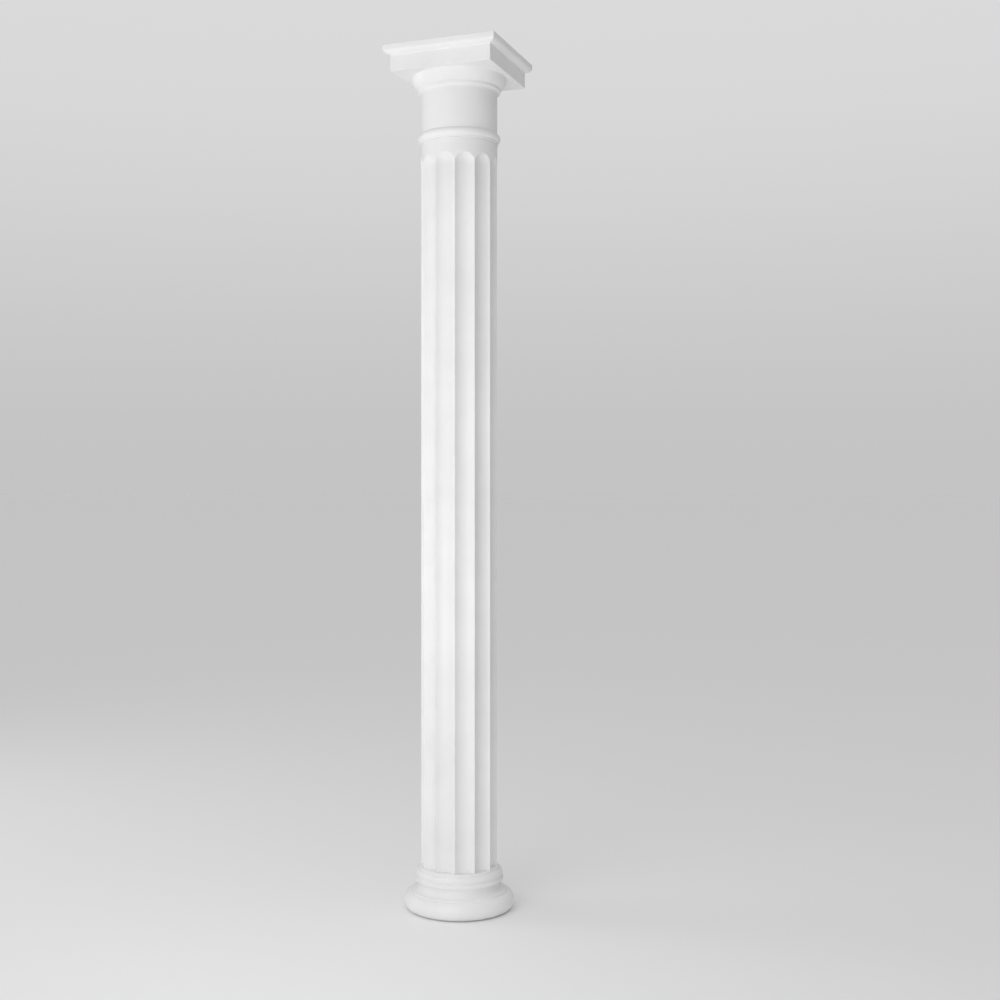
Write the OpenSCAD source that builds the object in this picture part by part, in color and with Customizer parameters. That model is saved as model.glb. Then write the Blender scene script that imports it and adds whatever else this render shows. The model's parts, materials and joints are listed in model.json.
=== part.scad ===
// Doric column in three moulded pieces: a round base, a fluted shaft and a square-topped capital.
// The pieces stack on one another on the Z axis, and one bore runs through all three.
// Millimetres. The origin is at the middle of the underside, +Z up.

/* [Shaft] */
// Diameter of the shaft over its arrises
shaft_d = 220; // [180:1:300]
// Length of the shaft between the base and the capital
shaft_length = 2068; // [600:1:3000]
// Number of flutes round the shaft, an even number
flute_count = 12; // [10:2:16]
// Depth of a flute at its middle, from the round of the shaft
flute_depth = 14.5; // [12:0.5:18]
// Width of the narrow edge left between two flutes
arris_width = 1.2; // [0.8:0.2:6]
// Plain band left between the flute heads and the top of the shaft
plain_band = 41; // [10:1:120]

/* [Bore] */
// Diameter of the bore through all three pieces
bore_d = 166; // [60:1:172]
// Radius of the rounded lip at the mouths that meet the shaft
lip_radius = 7; // [2:0.5:12]

/* [Base] */
// Height of the round seat under the shaft
seat_height = 6; // [3:0.5:12]
// How far the seats stand out past the shaft
seat_margin = 3.5; // [1:0.5:8]
// Radius of the upper torus moulding
upper_torus_r = 12; // [8:0.5:18]
// How far the fillet under the upper torus stands out past it
base_fillet_margin = 2; // [0:0.5:6]
// Height of the fillet under the upper torus
base_fillet_height = 7.5; // [4:0.5:12]
// Radius of the hollow that fills the crease between the upper torus and its fillet
crease_r = 3; // [1:0.25:3]
// Radius of the short arc at the top of the scotia
scotia_top_r = 8.5; // [6:0.5:12]
// Radius of the long arc at the bottom of the scotia
scotia_bottom_r = 20.5; // [14:0.5:30]
// Setback of the scotia from the edge of the fillet above it
scotia_setback = 2.5; // [0.5:0.5:5]
// Height of the narrow fillet under the scotia
scotia_fillet_height = 4; // [2:0.5:8]
// Radius of the lower torus moulding
lower_torus_r = 26; // [20:0.5:36]
// How far the lower torus stands out past the scotia's lower edge
lower_torus_margin = 22; // [16:0.5:24]

/* [Capital] */
// Height of the round seat on top of the shaft
collar_height = 4; // [2:0.5:10]
// Radius of the astragal, the round bead at the foot of the neck
astragal_r = 12.5; // [8:0.5:18]
// How far the astragal stands out past the neck
astragal_margin = 9; // [5:0.5:11]
// Diameter of the plain neck
neck_d = 220; // [190:1:300]
// Height of the neck between the astragal and the cove
neck_height = 112; // [40:1:300]
// Radius of the small cove at the top of the neck
cove_r = 9.5; // [4:0.5:12]
// Straight part of the cove's edge, under the echinus
annulet_height = 8; // [3:0.5:12]
// Radius of the round of the echinus
echinus_r = 39; // [28:0.5:44]
// How far the echinus stands out past the annulet
echinus_margin = 16.5; // [12:0.5:23.5]
// Side of the square abacus below its moulding
abacus_side = 300; // [290:1:460]
// Height of the plain face of the abacus
abacus_face = 46; // [20:1:90]
// Radius of the round moulding at the top of the abacus
abacus_ovolo_r = 18; // [12:0.5:26]
// Height of the round moulding, no more than its radius
abacus_ovolo_height = 12; // [6:0.5:12]
// Height of the top fillet of the abacus
abacus_fillet = 14; // [6:0.5:24]

/* [Hidden] */
$fn = 96;
// Overlap that keeps cutters clear of the faces they cut
over = 1;
// Depth by which a round that only touches another is set into it, so that the two cross cleanly
bite = 0.05;
shaft_r = shaft_d / 2;
bore_r = bore_d / 2;
neck_r = neck_d / 2;
seat_r = shaft_r + seat_margin;

// Flute: its arc runs from one arris to the next and reaches flute_depth at its middle
flute_step = 360 / flute_count;
flute_half_angle = flute_step / 2 - asin(arris_width / shaft_d);
flute_half_chord = shaft_r * sin(flute_half_angle);
flute_chord_at = shaft_r * cos(flute_half_angle);
depth_below_chord = flute_depth - (shaft_r - flute_chord_at);
flute_r = (pow(flute_half_chord, 2) + pow(depth_below_chord, 2)) / (2 * depth_below_chord);
flute_at = flute_chord_at - depth_below_chord + flute_r;
// Height of a rounded flute head above the middle of its sphere, on the round of the shaft
head_rise = sqrt(pow(flute_r, 2) - pow(flute_at - shaft_r, 2));
head_z = shaft_length - plain_band - head_rise;

// Base: levels from the floor up, and the radii of its mouldings
upper_torus_at = seat_r;
base_fillet_outer = upper_torus_at + upper_torus_r + base_fillet_margin;
// The hollow of the crease touches the torus at this height above the fillet
crease_at = upper_torus_at + 2 * sqrt(upper_torus_r * crease_r) - bite;
crease_touch = 2 * upper_torus_r * crease_r / (upper_torus_r + crease_r);
scotia_waist = base_fillet_outer - scotia_setback - scotia_top_r;
scotia_edge = scotia_waist + scotia_bottom_r;
lower_torus_at = scotia_edge + lower_torus_margin - lower_torus_r;
// The lower torus is cut by the narrow fillet, so the fillet starts a little below its crown
lower_torus_crown = lower_torus_r + sqrt(pow(lower_torus_r, 2) - pow(scotia_edge - lower_torus_at, 2));
scotia_z = lower_torus_crown + scotia_fillet_height;
waist_z = scotia_z + scotia_bottom_r;
base_fillet_z = waist_z + scotia_top_r;
upper_torus_z = base_fillet_z + base_fillet_height;
seat_z = upper_torus_z + 2 * upper_torus_r;
base_height = seat_z + seat_height;

// Capital: levels from its underside up
astragal_at = neck_r + astragal_margin - astragal_r;
neck_z = collar_height + 2 * astragal_r;
cove_z = neck_z + neck_height;
annulet_z = cove_z + cove_r;
annulet_r = neck_r + cove_r;
echinus_z = annulet_z + annulet_height;
echinus_at = annulet_r + echinus_margin - echinus_r;
// The round of the echinus starts where it meets the annulet
echinus_drop = sqrt(pow(echinus_r, 2) - pow(annulet_r - echinus_at, 2));
soffit_z = echinus_z + echinus_drop;
ovolo_z = soffit_z + abacus_face;
top_fillet_z = ovolo_z + abacus_ovolo_height;
capital_height = top_fillet_z + abacus_fillet;
// The round of the moulding starts level at the top of the plain face
abacus_ovolo_margin = sqrt(pow(abacus_ovolo_r, 2) - pow(abacus_ovolo_r - abacus_ovolo_height, 2));
top_side = abacus_side + 2 * abacus_ovolo_margin;

// Where each piece stands in the column
shaft_z = base_height;
capital_z = shaft_z + shaft_length;

// Upright rectangle in the turning profile, from the axis to r and from z0 to z1
module drum(r, z0, z1) {
    translate([0, z0]) square([r, z1 - z0]);
}

// Round moulding in the turning profile, centred at radius r and height z, filled in to the axis
module round_moulding(r, z, bead_r) {
    translate([r, z]) circle(r = bead_r);
    drum(r, z - bead_r, z + bead_r);
}

// Corner piece that rounds the mouth of the bore at height z; up is 1 at a top mouth and -1 at a bottom one
module lip_cut(z, up) {
    difference() {
        translate([0, up > 0 ? z - lip_radius : z - over]) square([bore_r + lip_radius, lip_radius + over]);
        translate([bore_r + lip_radius, z - up * lip_radius]) circle(r = lip_radius);
    }
}

// Concave scotia: a short arc above its waist and a long one below, cut from the drum between its fillets
module scotia_profile() {
    difference() {
        drum(scotia_edge, scotia_z, base_fillet_z);
        translate([scotia_waist + scotia_top_r, waist_z]) circle(r = scotia_top_r);
        translate([scotia_waist + scotia_top_r, waist_z]) square([scotia_edge, scotia_top_r + over]);
        intersection() {
            translate([scotia_edge, waist_z]) circle(r = scotia_bottom_r);
            translate([0, scotia_z - over]) square([scotia_edge + over, scotia_bottom_r + over]);
        }
    }
}

// Hollow round in the crease under the upper torus
module crease_profile() {
    difference() {
        drum(crease_at, upper_torus_z - over, upper_torus_z + crease_touch);
        translate([crease_at, upper_torus_z + crease_r]) circle(r = crease_r);
    }
}

module base_profile() {
    difference() {
        union() {
            intersection() {
                round_moulding(lower_torus_at, lower_torus_r, lower_torus_r);
                drum(lower_torus_at + 2 * lower_torus_r, 0, lower_torus_crown);
            }
            drum(scotia_edge, lower_torus_crown - over, scotia_z);
            scotia_profile();
            drum(base_fillet_outer, base_fillet_z, upper_torus_z);
            crease_profile();
            round_moulding(upper_torus_at, upper_torus_z + upper_torus_r, upper_torus_r);
            drum(seat_r, seat_z - over, base_height);
        }
        drum(bore_r, -over, base_height + over);
        lip_cut(base_height, 1);
    }
}

module base() {
    color("whitesmoke") rotate_extrude() base_profile();
}

// One flute: a long round channel with a domed head, open at the foot of the shaft
module flute() {
    translate([flute_at, 0, 0]) rotate_extrude() intersection() {
        union() {
            translate([0, -over]) square([flute_r, head_z + over]);
            translate([0, head_z]) circle(r = flute_r);
        }
        translate([0, -over]) square([flute_r, head_z + flute_r + over]);
    }
}

// Every second flute, from the first one given
module alternate_flutes(first) {
    for (i = [first : 2 : flute_count - 1]) rotate([0, 0, i * flute_step]) flute();
}

// Neighbouring flutes run into each other outside the shaft, so they are cut in two turns
module fluted_drum() {
    difference() {
        difference() {
            cylinder(r = shaft_r, h = shaft_length);
            alternate_flutes(0);
        }
        alternate_flutes(1);
    }
}

module shaft() {
    color("whitesmoke") translate([0, 0, shaft_z]) difference() {
        fluted_drum();
        translate([0, 0, -over]) cylinder(r = bore_r, h = shaft_length + 2 * over);
    }
}

// Turned part of the capital: collar, astragal, neck, cove, annulet and echinus
module capital_profile() {
    drum(seat_r, 0, collar_height + over);
    round_moulding(astragal_at, collar_height + astragal_r, astragal_r);
    drum(neck_r, neck_z - over, cove_z);
    difference() {
        drum(annulet_r, cove_z - over, annulet_z);
        translate([annulet_r, cove_z]) circle(r = cove_r);
        translate([neck_r, cove_z - 2 * over]) square([annulet_r, 2 * over]);
    }
    drum(annulet_r, annulet_z - over, echinus_z + over);
    intersection() {
        round_moulding(echinus_at, soffit_z, echinus_r);
        drum(echinus_at + 2 * echinus_r, echinus_z, soffit_z);
    }
}

// Side view of the abacus: plain face, round moulding and top fillet
module abacus_profile() {
    translate([-abacus_side / 2, soffit_z]) square([abacus_side, abacus_face + abacus_ovolo_height]);
    for (side = [-1, 1]) intersection() {
        translate([side * abacus_side / 2, ovolo_z + abacus_ovolo_r]) circle(r = abacus_ovolo_r);
        translate([-top_side, ovolo_z]) square([2 * top_side, abacus_ovolo_height]);
    }
    translate([-top_side / 2, top_fillet_z]) square([top_side, abacus_fillet]);
}

// The moulding returns round all four sides, so it is one side view crossed with the other
module abacus() {
    intersection() {
        rotate([90, 0, 0]) linear_extrude(height = top_side, center = true) abacus_profile();
        rotate([90, 0, 90]) linear_extrude(height = top_side, center = true) abacus_profile();
    }
}

module capital() {
    color("whitesmoke") translate([0, 0, capital_z]) difference() {
        union() {
            rotate_extrude() capital_profile();
            abacus();
        }
        translate([0, 0, -over]) cylinder(r = bore_r, h = capital_height + 2 * over);
        rotate_extrude() lip_cut(0, -1);
    }
}

base();
shaft();
capital();
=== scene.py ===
"""Doric column in three moulded pieces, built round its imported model.

The base, the shaft and the capital are cast in rigid foam and primed white. Each is modelled here as one
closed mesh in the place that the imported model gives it, then dressed, lit and framed for a studio view.
Sizes of the mouldings are in millimetres, as a moulder writes them; Blender's own units are metres.
"""

import json
import logging
import math
from collections.abc import Callable
from dataclasses import dataclass, field
from enum import Enum
from typing import ClassVar

import bmesh
import bpy
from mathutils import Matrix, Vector


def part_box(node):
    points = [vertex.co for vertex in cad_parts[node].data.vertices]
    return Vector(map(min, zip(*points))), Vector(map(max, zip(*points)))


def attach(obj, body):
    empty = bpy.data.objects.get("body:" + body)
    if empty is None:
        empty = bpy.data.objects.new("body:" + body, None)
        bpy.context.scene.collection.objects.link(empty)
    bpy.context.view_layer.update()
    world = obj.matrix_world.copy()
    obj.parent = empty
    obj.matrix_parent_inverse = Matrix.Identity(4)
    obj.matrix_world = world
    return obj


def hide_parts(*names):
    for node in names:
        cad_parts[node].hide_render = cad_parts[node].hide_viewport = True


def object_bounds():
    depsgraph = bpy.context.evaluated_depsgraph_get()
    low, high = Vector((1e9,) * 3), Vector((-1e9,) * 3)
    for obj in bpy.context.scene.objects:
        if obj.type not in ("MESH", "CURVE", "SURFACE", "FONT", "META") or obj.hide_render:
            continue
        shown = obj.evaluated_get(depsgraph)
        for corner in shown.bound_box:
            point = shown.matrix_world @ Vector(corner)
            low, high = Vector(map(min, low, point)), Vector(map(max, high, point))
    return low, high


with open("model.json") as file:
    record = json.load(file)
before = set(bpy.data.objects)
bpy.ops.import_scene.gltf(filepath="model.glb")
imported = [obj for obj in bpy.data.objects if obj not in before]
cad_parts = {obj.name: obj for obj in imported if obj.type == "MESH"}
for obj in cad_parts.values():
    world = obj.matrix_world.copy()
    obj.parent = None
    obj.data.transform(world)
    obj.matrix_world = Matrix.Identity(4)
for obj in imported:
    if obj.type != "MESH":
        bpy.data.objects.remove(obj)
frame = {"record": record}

MM = 0.001
BODY = "root"
# Vertices closer than this are the same vertex, in metres
SAME_PLACE = 2e-6
# Edges that turn by more than this many degrees are rounded
SHARP = 30
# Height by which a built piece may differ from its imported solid, in millimetres
FIT_TOLERANCE = 0.2
# Most of a noise's factor lies between these
NOISE_LOW, NOISE_HIGH = 0.35, 0.65

log = logging.getLogger("doric_column")

CAD_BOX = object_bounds()


# ---------------------------------------------------------------------------------------------- helpers


def clear_selection() -> None:
    """Leave edit mode, and leave nothing selected or active."""
    if bpy.context.object and bpy.context.object.mode != "OBJECT":
        bpy.ops.object.mode_set(mode="OBJECT")
    bpy.ops.object.select_all(action="DESELECT")
    bpy.context.view_layer.objects.active = None


def edit(select_mode: str) -> None:
    """Open the active object for editing with nothing selected.

    Args:
        select_mode: "VERT", "EDGE" or "FACE".
    """
    bpy.ops.object.mode_set(mode="EDIT")
    bpy.ops.mesh.select_mode(type=select_mode)
    bpy.ops.mesh.select_all(action="DESELECT")


def name_active(name: str) -> bpy.types.Object:
    """Name the active object and its mesh.

    Args:
        name: the name of the piece.

    Returns:
        The active object.
    """
    piece = bpy.context.object
    piece.name = name
    piece.data.name = name
    return piece


def close_up(piece: bpy.types.Object) -> None:
    """Merge the vertices of the open mesh that share a place, and point its faces outwards.

    Args:
        piece: the object that is open for editing.
    """
    bpy.ops.mesh.select_all(action="SELECT")
    bpy.ops.mesh.remove_doubles(threshold=SAME_PLACE)
    bpy.ops.mesh.dissolve_degenerate(threshold=SAME_PLACE)
    bpy.ops.mesh.select_all(action="SELECT")
    bpy.ops.mesh.normals_make_consistent(inside=False)
    log.info("%s closed with %d faces", piece.name, len(bmesh.from_edit_mesh(piece.data).faces))


def soften_edges(width: float, segments: int = 3) -> None:
    """Round every sharp edge of the open mesh, as a mould leaves it.

    Args:
        width: how far the round reaches from the edge, in millimetres.
        segments: faces across the round.
    """
    bpy.ops.mesh.select_mode(type="EDGE")
    bpy.ops.mesh.select_all(action="DESELECT")
    bpy.ops.mesh.edges_select_sharp(sharpness=math.radians(SHARP))
    bpy.ops.mesh.bevel(
        offset=width * MM, segments=segments, profile=0.5, affect="EDGES", clamp_overlap=True
    )


def finish_surface(piece: bpy.types.Object) -> None:
    """Shade the piece smooth, with each vertex's normal leaning to its largest faces.

    Args:
        piece: the finished mesh object.
    """
    clear_selection()
    piece.select_set(True)
    bpy.context.view_layer.objects.active = piece
    bpy.ops.object.shade_smooth()
    bpy.ops.object.modifier_add(type="WEIGHTED_NORMAL")
    weighting = piece.modifiers[-1]
    weighting.mode = "FACE_AREA"
    weighting.weight = 50
    bpy.ops.object.modifier_apply(modifier=weighting.name)
    clear_selection()


# ------------------------------------------------------------------------------------------- turned work


@dataclass
class Profile:
    """Half outline of a turned piece, walked from point to point, in millimetres from the axis and up."""

    # Length of the straight steps that an arc is made of
    arc_step: float = 2.4
    points: list[tuple[float, float]] = field(default_factory=list)

    def to(self, radius: float, height: float) -> "Profile":
        """Go straight to a point, and return the profile."""
        self.points.append((radius, height))
        return self

    def arc(self, centre: tuple[float, float], size: float, start: float, end: float) -> "Profile":
        """Follow an arc, both of its ends included.

        Args:
            centre: radius and height of the arc's centre.
            size: the arc's own radius.
            start: angle at its first point, in degrees, 0 outwards from the axis and 90 upwards.
            end: angle at its last point.

        Returns:
            The profile.
        """
        steps = max(3, math.ceil(abs(math.radians(end - start)) * size / self.arc_step))
        for i in range(steps + 1):
            angle = math.radians(start + (end - start) * i / steps)
            self.to(centre[0] + size * math.cos(angle), centre[1] + size * math.sin(angle))
        return self

    def cleaned(self) -> list[tuple[float, float]]:
        """Drop the points that repeat the one before.

        Returns:
            The points that are left.
        """
        kept = self.points[:1]
        for point in self.points[1:]:
            if math.dist(point, kept[-1]) > SAME_PLACE / MM:
                kept.append(point)
        return kept


def turn(name: str, profile: Profile, floor_z: float, around: int, closed: bool) -> bpy.types.Object:
    """Turn a profile about the column's axis, and leave the result open for editing.

    Args:
        name: the name of the piece.
        profile: the half outline.
        floor_z: height of the profile's zero, in metres.
        around: number of faces round the axis.
        closed: True joins the last point to the first.

    Returns:
        The turned object.
    """
    points = profile.cleaned()
    # A small plane, merged to one vertex, starts the outline
    clear_selection()
    bpy.ops.mesh.primitive_plane_add(size=2 * MM, location=(0, 0, 0))
    piece = name_active(name)
    edit("VERT")
    bpy.ops.mesh.select_all(action="SELECT")
    bpy.ops.mesh.merge(type="CENTER")
    radius, height = points[0]
    bpy.ops.transform.translate(value=(radius * MM, 0, height * MM + floor_z))
    for (r0, z0), (r1, z1) in zip(points, points[1:] + (points[:1] if closed else [])):
        step = ((r1 - r0) * MM, 0, (z1 - z0) * MM)
        bpy.ops.mesh.extrude_vertices_move(TRANSFORM_OT_translate={"value": step})
    bpy.ops.mesh.select_all(action="SELECT")
    bpy.ops.mesh.remove_doubles(threshold=SAME_PLACE)
    bpy.ops.mesh.select_all(action="SELECT")
    bpy.ops.mesh.spin(steps=around, angle=math.tau, center=(0, 0, 0), axis=(0, 0, 1))
    bpy.ops.mesh.select_all(action="SELECT")
    bpy.ops.mesh.remove_doubles(threshold=SAME_PLACE)
    return piece


# ---------------------------------------------------------------------------------------------- finishes


def linear(hex_colour: str) -> tuple[float, float, float, float]:
    """Turn an sRGB hex colour into the linear colour that a shader takes.

    Args:
        hex_colour: six hex digits.

    Returns:
        Red, green, blue and an alpha of 1.
    """
    channels = [int(hex_colour[i : i + 2], 16) / 255 for i in (0, 2, 4)]
    low, slope, offset, power = 0.04045, 12.92, 0.055, 2.4
    red, green, blue = (c / slope if c <= low else ((c + offset) / (1 + offset)) ** power for c in channels)
    return red, green, blue, 1.0


def add_node(
    tree: bpy.types.NodeTree,
    kind: str,
    settings: dict[str, object] | None = None,
    inputs: dict[str, object] | None = None,
    links: dict[str, bpy.types.NodeSocket] | None = None,
) -> bpy.types.Node:
    """Add one node to a tree.

    Args:
        tree: the node tree.
        kind: the node's type name.
        settings: attributes of the node.
        inputs: plain values, by the name or the index of the input.
        links: output sockets to join, by the name or the index of the input.

    Returns:
        The new node.
    """
    node = tree.nodes.new(kind)
    for key, value in (settings or {}).items():
        setattr(node, key, value)
    for key, value in (inputs or {}).items():
        node.inputs[key].default_value = value
    for key, socket in (links or {}).items():
        tree.links.new(socket, node.inputs[key])
    return node


@dataclass(frozen=True)
class PrimedFoam:
    """Rigid polyurethane foam, cast in a smooth mould and sprayed with one coat of white primer.

    The skin is even and satin. The spray leaves a fine orange peel, and the primer is a trace thinner and
    duller in some places than in others, so that broad faces aren't quite one tone.
    """

    name: str
    # A neutral white primer where it is thickest, and where it is thinnest
    thick: str = "F4F4F4"
    thin: str = "EEEEEE"
    # Width of the cloudy patches of thicker and thinner primer
    patch_mm: float = 160.0
    # Width of one bump of the orange peel; sprayed primer has about 1 mm, drawn coarser so that it shows
    peel_mm: float = 2.2
    peel_height_mm: float = 0.015
    # Ripple of the mould's own wall
    ripple_mm: float = 55.0
    ripple_height_mm: float = 0.08
    # How far the noise of each is broken up more finely
    patch_detail: float = 4.0
    peel_detail: float = 1.0
    ripple_detail: float = 2.0
    # A satin primer's roughness lies between these
    smoothest: float = 0.42
    dullest: float = 0.54
    # Refractive index of an acrylic primer
    index: float = 1.48

    def build(self) -> bpy.types.Material:
        """Make the material.

        Returns:
            The new material.
        """
        material = bpy.data.materials.new(self.name)
        material.use_nodes = True
        tree = material.node_tree
        tree.nodes.clear()
        place = add_node(tree, "ShaderNodeTexCoord").outputs["Object"]
        patches = self._noise(tree, place, self.patch_mm, self.patch_detail)
        peel = self._noise(tree, place, self.peel_mm, self.peel_detail)
        ripple = self._noise(tree, place, self.ripple_mm, self.ripple_detail)
        # In a mix of colours, input 0 is the factor, 6 and 7 are the colours, and output 2 is the result
        colour = add_node(
            tree,
            "ShaderNodeMix",
            {"data_type": "RGBA"},
            {6: linear(self.thin), 7: linear(self.thick)},
            {0: self._spread(tree, patches, 0.0, 1.0)},
        )
        dullness = self._spread(tree, patches, self.dullest, self.smoothest)
        waves = add_node(
            tree,
            "ShaderNodeBump",
            inputs={"Strength": 1.0, "Distance": self.ripple_height_mm * MM},
            links={"Height": ripple},
        )
        grain = add_node(
            tree,
            "ShaderNodeBump",
            inputs={"Strength": 1.0, "Distance": self.peel_height_mm * MM},
            links={"Height": peel, "Normal": waves.outputs["Normal"]},
        )
        shader = add_node(
            tree,
            "ShaderNodeBsdfPrincipled",
            inputs={"IOR": self.index},
            links={
                "Base Color": colour.outputs[2],
                "Roughness": dullness,
                "Normal": grain.outputs["Normal"],
            },
        )
        add_node(tree, "ShaderNodeOutputMaterial", links={"Surface": shader.outputs["BSDF"]})
        return material

    @staticmethod
    def _noise(
        tree: bpy.types.NodeTree, place: bpy.types.NodeSocket, size_mm: float, detail: float
    ) -> bpy.types.NodeSocket:
        """Add a noise.

        Args:
            tree: the material's node tree.
            place: the place on the piece.
            size_mm: about how wide its blotches are, in millimetres.
            detail: how far it is broken up more finely.

        Returns:
            The noise's factor.
        """
        noise = add_node(
            tree,
            "ShaderNodeTexNoise",
            inputs={"Scale": 1 / (size_mm * MM), "Detail": detail, "Roughness": 0.5},
            links={"Vector": place},
        )
        return noise.outputs["Fac"]

    @staticmethod
    def _spread(
        tree: bpy.types.NodeTree, factor: bpy.types.NodeSocket, low: float, high: float
    ) -> bpy.types.NodeSocket:
        """Stretch the factor of a noise from its usual range to another.

        Args:
            tree: the material's node tree.
            factor: the noise's factor.
            low: the value where the noise is low.
            high: the value where it is high.

        Returns:
            The stretched value.
        """
        spread = add_node(
            tree,
            "ShaderNodeMapRange",
            inputs={"From Min": NOISE_LOW, "From Max": NOISE_HIGH, "To Min": low, "To Max": high},
            links={"Value": factor},
        )
        return spread.outputs["Result"]


@dataclass(frozen=True)
class StudioFloor:
    """Matt white vinyl sweep on the studio floor: even, with almost no gloss."""

    name: str = "matt_white_vinyl"
    colour: str = "F8F8F8"
    roughness: float = 0.75
    gloss: float = 0.2

    def build(self) -> bpy.types.Material:
        """Make the material.

        Returns:
            The new material.
        """
        material = bpy.data.materials.new(self.name)
        material.use_nodes = True
        tree = material.node_tree
        tree.nodes.clear()
        shader = add_node(
            tree,
            "ShaderNodeBsdfPrincipled",
            inputs={
                "Base Color": linear(self.colour),
                "Roughness": self.roughness,
                "Specular IOR Level": self.gloss,
            },
        )
        add_node(tree, "ShaderNodeOutputMaterial", links={"Surface": shader.outputs["BSDF"]})
        return material


# ------------------------------------------------------------------------------------------------ pieces


class Part(Enum):
    """The three pieces of the column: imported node, and the record's material slot."""

    BASE = ("base", "moulded_base")
    SHAFT = ("shaft", "moulded_shaft")
    CAPITAL = ("capital", "moulded_capital")

    @property
    def node(self) -> str:
        """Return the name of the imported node."""
        return self.value[0]

    @property
    def slot(self) -> str:
        """Return the name of the material slot."""
        return self.value[1]

    @property
    def floor_z(self) -> float:
        """Return the height of the piece's underside in metres."""
        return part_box(self.node)[0].z

    @property
    def height(self) -> float:
        """Return the piece's height in millimetres."""
        low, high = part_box(self.node)
        return (high.z - low.z) / MM

    @property
    def reach(self) -> float:
        """Return how far the piece reaches from the axis along X, in millimetres."""
        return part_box(self.node)[1].x / MM


def bore_radius() -> float:
    """Return the radius of the bore through the column, in millimetres."""
    bores = [mount for mount in frame["record"]["mounts"] if mount["kind"] == "bore"]
    return bores[0]["dims"]["r_mm"]


class Moulding:
    """What the pieces of the column share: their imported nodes, a check of height, and dressing."""

    part: ClassVar[Part]

    def check_height(self, built: float) -> None:
        """Stop if the piece's mouldings don't add up to its packed height.

        Args:
            built: the height that its mouldings give, in millimetres.
        """
        part = self.part
        if abs(built - part.height) > FIT_TOLERANCE:
            raise ValueError(f"{part.node}: {built:.2f} mm high here, {part.height:.2f} mm in the frame")

    def dress(self, piece: bpy.types.Object, material: bpy.types.Material) -> None:
        """Give the finished piece its material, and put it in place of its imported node.

        Args:
            piece: the finished object.
            material: its finish.
        """
        part = self.part
        piece.data.materials.clear()
        piece.data.materials.append(material)
        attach(piece, BODY)
        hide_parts(part.node)
        log.info("%s: %d vertices, %s", piece.name, len(piece.data.vertices), material.name)


@dataclass
class Base(Moulding):
    """Round base: flat underside, large torus, scotia between fillets, small torus, and the shaft's seat.

    A moulding's size is its radius, unless it is named a height, a margin, a setback or a fillet.
    """

    part: ClassVar[Part] = Part.BASE

    seat_height: float = 6.0
    seat_margin: float = 3.5
    upper_torus: float = 12.0
    fillet_margin: float = 2.0
    fillet_height: float = 7.5
    # The hollow that fills the crease under the upper torus
    crease: float = 3.0
    scotia_top: float = 8.5
    scotia_bottom: float = 20.5
    scotia_setback: float = 2.5
    scotia_fillet: float = 4.0
    lower_torus: float = 26.0
    lower_torus_margin: float = 22.0
    lip: float = 7.0
    # Round of the edges
    edge: float = 2.0
    # Faces round the axis
    around: int = 288

    def build(self, shaft_radius: float, bore: float) -> bpy.types.Object:
        """Turn the base.

        Args:
            shaft_radius: radius of the shaft that stands on it, in millimetres.
            bore: radius of the bore in millimetres.

        Returns:
            The finished object.
        """
        seat = shaft_radius + self.seat_margin
        fillet = seat + self.upper_torus + self.fillet_margin
        waist = fillet - self.scotia_setback - self.scotia_top
        scotia_edge = waist + self.scotia_bottom
        torus_at = scotia_edge + self.lower_torus_margin - self.lower_torus
        cut = math.degrees(math.acos((scotia_edge - torus_at) / self.lower_torus))
        crown = self.lower_torus * (1 + math.sin(math.radians(cut)))
        scotia_z = crown + self.scotia_fillet
        waist_z = scotia_z + self.scotia_bottom
        fillet_z = waist_z + self.scotia_top
        torus_z = fillet_z + self.fillet_height
        seat_z = torus_z + 2 * self.upper_torus
        top = seat_z + self.seat_height
        self.check_height(top)

        outline = Profile().to(bore, 0).to(torus_at, 0)
        outline.arc((torus_at, self.lower_torus), self.lower_torus, -90, cut)
        outline.arc((scotia_edge, waist_z), self.scotia_bottom, 270, 180)
        outline.arc((waist + self.scotia_top, waist_z), self.scotia_top, 180, 90)
        outline.to(fillet, fillet_z).to(fillet, torus_z)
        crease_at = seat + 2 * math.sqrt(self.upper_torus * self.crease)
        meet = math.degrees(math.atan2(self.upper_torus - self.crease, crease_at - seat))
        outline.arc((crease_at, torus_z + self.crease), self.crease, -90, -180 - meet)
        outline.arc((seat, torus_z + self.upper_torus), self.upper_torus, -meet, 90)
        outline.to(seat, top)
        outline.arc((bore + self.lip, top - self.lip), self.lip, 90, 180)
        piece = turn("moulded_base", outline, self.part.floor_z, self.around, closed=True)
        close_up(piece)
        soften_edges(width=self.edge)
        finish_surface(piece)
        return piece


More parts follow.
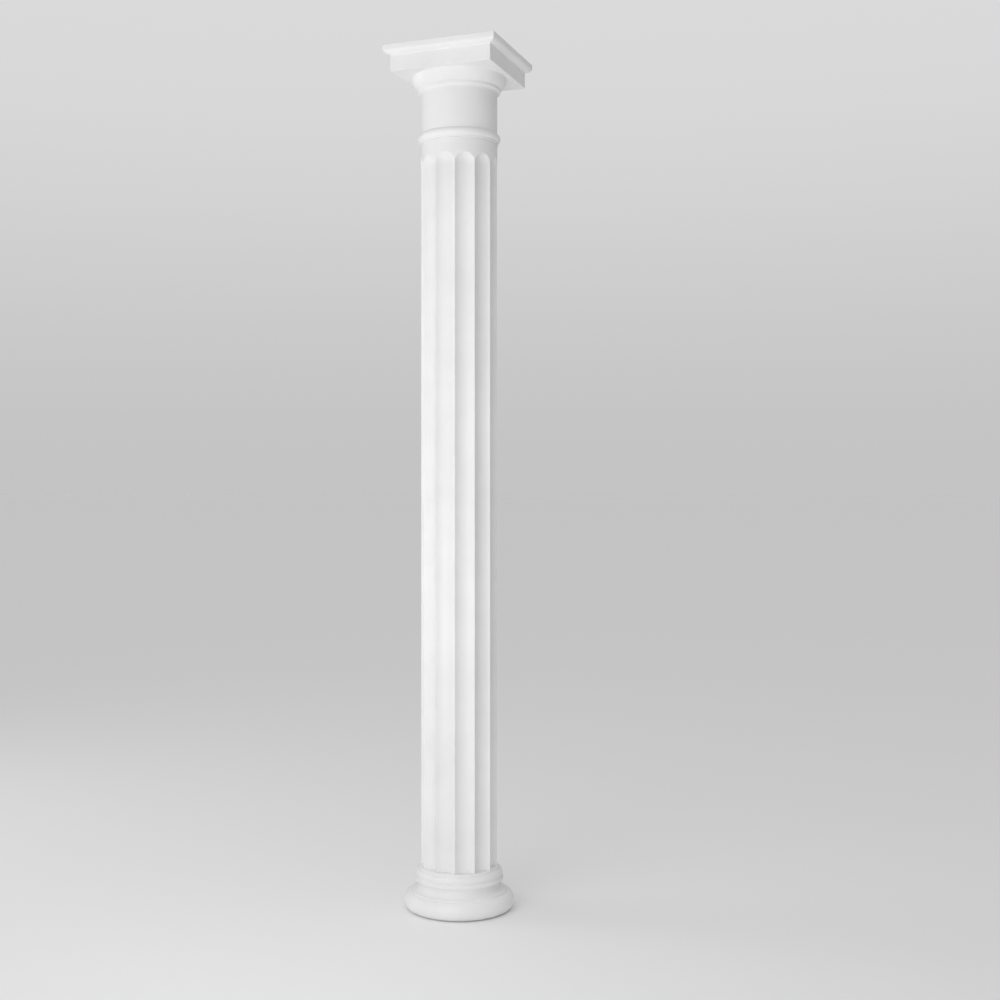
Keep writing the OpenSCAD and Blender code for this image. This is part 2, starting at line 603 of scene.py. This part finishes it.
@dataclass
class Shaft(Moulding):
    """Straight fluted shaft: hollow flutes with round heads, meeting in narrow arrises."""

    part: ClassVar[Part] = Part.SHAFT

    flutes: int = 12
    depth: float = 14.5
    arris: float = 1.2
    plain_band: float = 41.0
    # How far the round of an arris reaches to each side of its edge
    arris_round: float = 3.0
    # Round at both ends of the shaft
    end_round: float = 1.0
    # Faces across half a flute, across half the plain strip beside it, and up a flute's head
    across_flute: int = 14
    across_plain: int = 8
    up_head: int = 28
    # Rows up the straight part of a flute, as shares of it, and just above its head, in millimetres
    straight_rows: tuple[float, ...] = (0.25, 0.5, 0.75, 1.0)
    rows_above: tuple[float, ...] = (0.4, 0.8, 1.6, 4.0)
    # Rows in the round of an end, in degrees from the shaft's side
    end_rows: tuple[float, ...] = (90, 60, 30, 0)
    # Half the angle that the columns of a flute still spread over above its head, in degrees
    least_spread: float = 1.2
    # How strongly the columns beside a flute crowd towards its edge
    crowding: float = 1.5

    def build(self, radius: float, bore: float) -> bpy.types.Object:
        """Shape one flute with the wall behind it, then turn copies of it round the axis.

        Args:
            radius: the shaft's radius over its arrises, in millimetres.
            bore: radius of the bore in millimetres.

        Returns:
            The finished object.
        """
        length, floor_z = self.part.height, self.part.floor_z
        half_angle = math.pi / self.flutes - math.asin(self.arris / 2 / radius)
        half_chord, chord_at = radius * math.sin(half_angle), radius * math.cos(half_angle)
        sag = self.depth - (radius - chord_at)
        flute = (half_chord**2 + sag**2) / (2 * sag)
        flute_at = chord_at - sag + flute
        rise = math.sqrt(flute**2 - (flute_at - radius) ** 2)
        head_z = length - self.plain_band - rise

        # Each row is (height, inset for the round of the end, radius where the wall is plain)
        rows = [(z, inset, None) for z, inset in self._end_rows(0, 1)]
        rows += [(head_z * share, 0.0, None) for share in self.straight_rows]
        for i in range(1, self.up_head + 1):
            rows.append((head_z + rise * math.sin(math.pi / 2 * i / self.up_head), 0.0, None))
        rows += [(head_z + rise + above, 0.0, None) for above in self.rows_above]
        rows += [(z, inset, None) for z, inset in reversed(self._end_rows(length, -1))]
        rows += [(length, 0.0, bore + self.end_round), (length - self.end_round, 0.0, bore)]
        rows += [(self.end_round, 0.0, bore), (0.0, 0.0, bore + self.end_round)]
        rows.append(rows[0])

        per_half = self.across_flute + self.across_plain
        clear_selection()
        bpy.ops.mesh.primitive_grid_add(x_subdivisions=2 * per_half, y_subdivisions=len(rows) - 1, size=2)
        piece = name_active("fluted_shaft")
        edit("VERT")
        mesh = bmesh.from_edit_mesh(piece.data)
        for vertex in mesh.verts:
            column = round(vertex.co.x * per_half)
            z, inset, plain = rows[round((vertex.co.y + 1) / 2 * (len(rows) - 1))]
            reach = math.sqrt(max(flute**2 - max(0.0, z - head_z) ** 2, 0.0))
            if plain is None:
                angle = self._angle(column, radius, flute_at, reach)
                out = self._face(angle, radius, flute_at, reach) - inset
            else:
                angle, out = column / per_half * math.pi / self.flutes, plain
            place = Vector((out * math.cos(angle), out * math.sin(angle), z)) * MM
            vertex.co = place + Vector((0, 0, floor_z))
        bmesh.update_edit_mesh(piece.data)
        bpy.ops.mesh.select_all(action="SELECT")
        bpy.ops.mesh.spin(
            steps=self.flutes,
            dupli=True,
            use_auto_merge=False,
            angle=math.tau,
            center=(0, 0, 0),
            axis=(0, 0, 1),
        )
        close_up(piece)
        finish_surface(piece)
        return piece

    def _end_rows(self, end: float, inward: int) -> list[tuple[float, float]]:
        """List the rows that round an end of the shaft.

        Args:
            end: height of the end in millimetres.
            inward: the way into the shaft, 1 from the foot and -1 from the top.

        Returns:
            The height and the inset of each row, from the end inwards.
        """
        rows = []
        for degrees in self.end_rows:
            turn_in = math.radians(degrees)
            inset = self.end_round * (1 - math.cos(turn_in))
            rows.append((end + inward * self.end_round * (1 - math.sin(turn_in)), inset))
        return rows

    def _angle(self, column: int, radius: float, flute_at: float, reach: float) -> float:
        """Place a column of the fluted face.

        The columns crowd towards the flute's edge from both sides, where the arris is rounded.

        Args:
            column: the column's number, counted from the middle of the flute to both sides.
            radius: the shaft's radius.
            flute_at: distance of the flute's own centre from the axis.
            reach: radius of the flute at the row's height.

        Returns:
            The column's angle from the middle of the flute.
        """
        cosine = (radius**2 + flute_at**2 - reach**2) / (2 * radius * flute_at)
        edge = max(math.acos(min(cosine, 1.0)), math.radians(self.least_spread))
        in_flute = min(abs(column) / self.across_flute, 1.0)
        beyond = max(abs(column) - self.across_flute, 0) / self.across_plain
        beside = math.pi / self.flutes - edge
        angle = edge * math.sin(in_flute * math.pi / 2) + beside * beyond**self.crowding
        return math.copysign(angle, column)

    def _face(self, angle: float, radius: float, flute_at: float, reach: float) -> float:
        """Shape the fluted face, with the edges of its flutes rounded.

        Args:
            angle: the angle from the middle of the flute.
            radius: the shaft's radius.
            flute_at: distance of the flute's own centre from the axis.
            reach: radius of the flute at the row's height.

        Returns:
            The radius of the face at that angle.
        """
        under = reach**2 - (flute_at * math.sin(angle)) ** 2
        hollow = flute_at * math.cos(angle) - math.sqrt(max(under, 0.0))
        if under <= 0:
            return radius
        near = max(self.arris_round - abs(hollow - radius), 0.0)
        return min(hollow, radius) - near**2 / (4 * self.arris_round)


@dataclass
class Capital(Moulding):
    """Capital: collar, astragal, plain neck, cove, annulet, echinus and a square moulded abacus.

    A moulding's size is its radius, unless it is named a height, a margin, a face, a side or a fillet.
    """

    part: ClassVar[Part] = Part.CAPITAL

    collar_height: float = 4.0
    seat_margin: float = 3.5
    astragal: float = 12.5
    astragal_margin: float = 9.0
    neck_radius: float = 110.0
    neck_height: float = 112.0
    cove: float = 9.5
    annulet_height: float = 8.0
    echinus: float = 39.0
    echinus_margin: float = 16.5
    abacus_side: float = 300.0
    abacus_face: float = 46.0
    # Radius of the round moulding of the abacus, and the height at which it is cut off
    ovolo: float = 18.0
    ovolo_height: float = 12.0
    top_fillet: float = 14.0
    lip: float = 7.0
    # Round of the edges
    edge: float = 1.5
    # Faces round the axis: a multiple of eight, so that the corners of the abacus fall on them
    around: int = 288
    # Faces across the round moulding
    ovolo_steps: int = 9

    def build(self, shaft_radius: float, bore: float) -> bpy.types.Object:
        """Turn the round part, then draw its top edge out into the square abacus.

        Args:
            shaft_radius: radius of the shaft under it, in millimetres.
            bore: radius of the bore in millimetres.

        Returns:
            The finished object.
        """
        seat = shaft_radius + self.seat_margin
        astragal_at = self.neck_radius + self.astragal_margin - self.astragal
        astragal_z = self.collar_height + self.astragal
        neck_z = self.collar_height + 2 * self.astragal
        cove_z = neck_z + self.neck_height
        annulet = self.neck_radius + self.cove
        echinus_z = cove_z + self.cove + self.annulet_height
        echinus_at = annulet + self.echinus_margin - self.echinus
        start = math.degrees(math.acos((annulet - echinus_at) / self.echinus))
        soffit_z = echinus_z + self.echinus * math.sin(math.radians(start))
        ovolo_z = soffit_z + self.abacus_face
        fillet_z = ovolo_z + self.ovolo_height
        top = fillet_z + self.top_fillet
        self.check_height(top)

        outline = Profile().to(bore, top).to(bore, self.lip)
        outline.arc((bore + self.lip, self.lip), self.lip, 180, 270)
        outline.to(seat, 0).to(seat, self.collar_height)
        meets_collar = -math.degrees(math.acos((seat - astragal_at) / self.astragal))
        meets_neck = math.degrees(math.acos((self.neck_radius - astragal_at) / self.astragal))
        outline.arc((astragal_at, astragal_z), self.astragal, meets_collar, meets_neck)
        outline.to(self.neck_radius, cove_z)
        outline.arc((annulet, cove_z), self.cove, 180, 90)
        outline.to(annulet, echinus_z)
        outline.arc((echinus_at, soffit_z), self.echinus, -start, 0)
        floor_z = self.part.floor_z
        piece = turn("moulded_capital", outline, floor_z, self.around, closed=False)

        self._select_ring(piece, (echinus_at + self.echinus) * MM, soffit_z * MM + floor_z)
        half = self.abacus_side / 2
        sides = [(half, soffit_z), (half, ovolo_z)]
        ovolo_end = math.acos(1 - self.ovolo_height / self.ovolo)
        for i in range(1, self.ovolo_steps + 1):
            angle = ovolo_end * i / self.ovolo_steps
            out, up = self.ovolo * math.sin(angle), self.ovolo * (1 - math.cos(angle))
            sides.append((half + out, ovolo_z + up))
        sides.append((sides[-1][0], top))
        for side, z in sides:
            self._draw_out(piece, lambda angle, side=side: self._square(side, angle), z, floor_z)
        self._draw_out(piece, lambda angle: bore, top, floor_z)
        close_up(piece)
        soften_edges(width=self.edge)
        finish_surface(piece)
        return piece

    @staticmethod
    def _square(half: float, angle: float) -> float:
        """Return the distance from the axis to a square's edge in a direction."""
        return half / max(abs(math.cos(angle)), abs(math.sin(angle)))

    @staticmethod
    def _select_ring(piece: bpy.types.Object, radius: float, z: float) -> None:
        """Select a ring of vertices.

        Args:
            piece: the object that is open for editing.
            radius: the ring's radius in metres.
            z: its height in metres.
        """
        bpy.ops.mesh.select_mode(type="VERT")
        bpy.ops.mesh.select_all(action="DESELECT")
        near = 10 * SAME_PLACE
        mesh = bmesh.from_edit_mesh(piece.data)
        for vertex in mesh.verts:
            at_height = abs(vertex.co.z - z) < near
            at_radius = abs(math.hypot(vertex.co.x, vertex.co.y) - radius) < near
            vertex.select_set(at_height and at_radius)
        mesh.select_flush_mode()
        bmesh.update_edit_mesh(piece.data)

    @staticmethod
    def _draw_out(
        piece: bpy.types.Object, outline: Callable[[float], float], z: float, floor_z: float
    ) -> None:
        """Extrude the selected ring and set it on a new outline.

        Args:
            piece: the object that is open for editing.
            outline: distance from the axis in each direction, in millimetres.
            z: the new height above the piece's underside, in millimetres.
            floor_z: height of that underside in metres.
        """
        bpy.ops.mesh.extrude_region_move(TRANSFORM_OT_translate={"value": (0, 0, 0)})
        mesh = bmesh.from_edit_mesh(piece.data)
        for vertex in (v for v in mesh.verts if v.select):
            angle = math.atan2(vertex.co.y, vertex.co.x)
            reach = outline(angle) * MM
            vertex.co = (reach * math.cos(angle), reach * math.sin(angle), z * MM + floor_z)
        bmesh.update_edit_mesh(piece.data)


# ------------------------------------------------------------------------------------------------ studio


@dataclass
class Softbox:
    """A rectangular studio light that faces a point on the column's axis, and isn't seen itself."""

    name: str
    # Direction from the column, in degrees to the right of the camera
    bearing: float
    # Metres from the axis and above the floor, and how high the point is that it faces
    distance: float
    height: float
    aim_height: float
    # Its face in metres
    width: float
    tall: float
    watts: float

    def build(self, camera_azimuth: float) -> None:
        """Hang the light.

        Args:
            camera_azimuth: where the camera stands round the column, in degrees.
        """
        data = bpy.data.lights.new(self.name, "AREA")
        data.shape = "RECTANGLE"
        data.size = self.width
        data.size_y = self.tall
        data.energy = self.watts
        light = bpy.data.objects.new(self.name, data)
        bpy.context.scene.collection.objects.link(light)
        angle = math.radians(camera_azimuth + self.bearing)
        place = Vector((math.sin(angle) * self.distance, -math.cos(angle) * self.distance, self.height))
        light.location = place
        aim = Vector((0, 0, self.aim_height))
        light.rotation_euler = (aim - place).to_track_quat("-Z", "Y").to_euler()
        light.visible_camera = False


@dataclass
class Studio:
    """White studio: camera, softboxes, floor and a pale surround that is lit from overhead.

    Where the surround changes is given by how steeply a direction rises: 0 is level and 1 straight up.
    """

    # The camera's place round the column and above the floor
    azimuth: float = 21.3
    distance: float = 4.0
    camera_height: float = 1.2
    # Lens and sensor in millimetres
    lens: float = 50.0
    sensor: float = 36.0
    # Share of the picture's width by which the column's axis lies left of the middle
    axis_left: float = 0.041
    # Share by which the level of the lens lies above the middle
    level_up: float = 0.010
    # Width of the floor in metres, far past what the camera tells from the horizon
    floor_size: float = 600.0
    # The surround as the camera sees it: at the floor's far edge, and from seen_rise upwards
    surround: str = "FFFFFF"
    seen_low: float = 0.55
    seen_high: float = 0.70
    seen_rise: float = 0.33
    # Light from the surround all round, up to glow_ends, and overhead, from overhead_starts upwards
    glow: float = 0.34
    glow_ends: float = 0.45
    overhead: float = 0.82
    overhead_starts: float = 0.9

    def softboxes(self) -> list[Softbox]:
        """List the studio's lights.

        Returns:
            The softboxes.
        """
        return [
            # Broad light from the front, a little to the left
            Softbox(
                "key_softbox",
                bearing=-15,
                distance=3.0,
                height=1.1,
                aim_height=1.05,
                width=1.8,
                tall=2.2,
                watts=19.5,
            ),
            # Lifts the upper part of the shaft from the left
            Softbox(
                "high_softbox",
                bearing=-42,
                distance=2.0,
                height=2.4,
                aim_height=1.7,
                width=1.2,
                tall=0.9,
                watts=4,
            ),
            # Rakes across the flutes from the left
            Softbox(
                "side_softbox",
                bearing=-102,
                distance=3.6,
                height=1.9,
                aim_height=1.1,
                width=1.6,
                tall=2.4,
                watts=16,
            ),
            # Reaches up under the capital
            Softbox(
                "low_softbox",
                bearing=-30,
                distance=2.0,
                height=0.8,
                aim_height=2.5,
                width=1.2,
                tall=0.6,
                watts=8,
            ),
        ]

    def build(self) -> None:
        """Build the whole studio."""
        self._camera()
        self._floor()
        self._surround()
        for softbox in self.softboxes():
            softbox.build(self.azimuth)
        bpy.context.scene.view_settings.view_transform = "Standard"

    def _camera(self) -> None:
        """Stand the camera level in front of the column, and shift the picture to frame it."""
        data = bpy.data.cameras.new("studio_camera")
        data.lens = self.lens
        data.sensor_width = self.sensor
        data.shift_x = self.axis_left
        data.shift_y = -self.level_up
        camera = bpy.data.objects.new("studio_camera", data)
        bpy.context.scene.collection.objects.link(camera)
        angle = math.radians(self.azimuth)
        camera.location = (
            math.sin(angle) * self.distance,
            -math.cos(angle) * self.distance,
            self.camera_height,
        )
        camera.rotation_euler = (math.pi / 2, 0, angle)
        bpy.context.scene.camera = camera

    def _floor(self) -> None:
        """Lay the floor at the height the column stands on."""
        clear_selection()
        bpy.ops.mesh.primitive_plane_add(size=self.floor_size, location=(0, 0, CAD_BOX[0].z))
        floor = name_active("studio_floor")
        bpy.ops.object.transform_apply(location=True, rotation=True, scale=True)
        floor.data.materials.append(StudioFloor().build())
        clear_selection()

    def _surround(self) -> None:
        """Light the surround: a faint glow all round, and a broad soft light overhead.

        The camera sees a plain pale ground instead, of the floor's own tone where the two meet.
        """
        world = bpy.data.worlds.new("studio_surround")
        world.use_nodes = True
        tree = world.node_tree
        tree.nodes.clear()
        direction = add_node(tree, "ShaderNodeTexCoord").outputs["Generated"]
        upward = add_node(tree, "ShaderNodeSeparateXYZ", links={"Vector": direction}).outputs["Z"]
        strength = self._fade(
            tree, upward, (self.glow_ends, self.overhead_starts), (self.glow, self.overhead)
        )
        sweep = self._fade(tree, upward, (0.0, self.seen_rise), (self.seen_low, self.seen_high))
        colour = {"Color": linear(self.surround)}
        lighting = add_node(tree, "ShaderNodeBackground", inputs=colour, links={"Strength": strength})
        seen = add_node(tree, "ShaderNodeBackground", inputs=colour, links={"Strength": sweep})
        to_camera = add_node(tree, "ShaderNodeLightPath").outputs["Is Camera Ray"]
        surround = add_node(
            tree,
            "ShaderNodeMixShader",
            links={0: to_camera, 1: lighting.outputs["Background"], 2: seen.outputs["Background"]},
        )
        add_node(tree, "ShaderNodeOutputWorld", links={"Surface": surround.outputs["Shader"]})
        bpy.context.scene.world = world

    @staticmethod
    def _fade(
        tree: bpy.types.NodeTree,
        upward: bpy.types.NodeSocket,
        between: tuple[float, float],
        values: tuple[float, float],
    ) -> bpy.types.NodeSocket:
        """Pass softly from one strength to another, as the direction gets steeper.

        Args:
            tree: the world's node tree.
            upward: upward part of the direction, 0 level and 1 straight up.
            between: where the passage starts and ends.
            values: the strength before it and after it.

        Returns:
            The strength.
        """
        fade = add_node(
            tree,
            "ShaderNodeMapRange",
            {"interpolation_type": "SMOOTHSTEP"},
            {"From Min": between[0], "From Max": between[1], "To Min": values[0], "To Max": values[1]},
            {"Value": upward},
        )
        return fade.outputs["Result"]


def main() -> None:
    """Build the column, dress it and light it."""
    logging.basicConfig(level=logging.INFO)
    radius, bore = Part.SHAFT.reach, bore_radius()
    foam = PrimedFoam("primed_polyurethane_foam").build()
    for moulding in (Base(), Shaft(), Capital()):
        piece = moulding.build(radius, bore)
        moulding.dress(piece, foam)
    Studio().build()


if __name__ == "__main__":
    main()
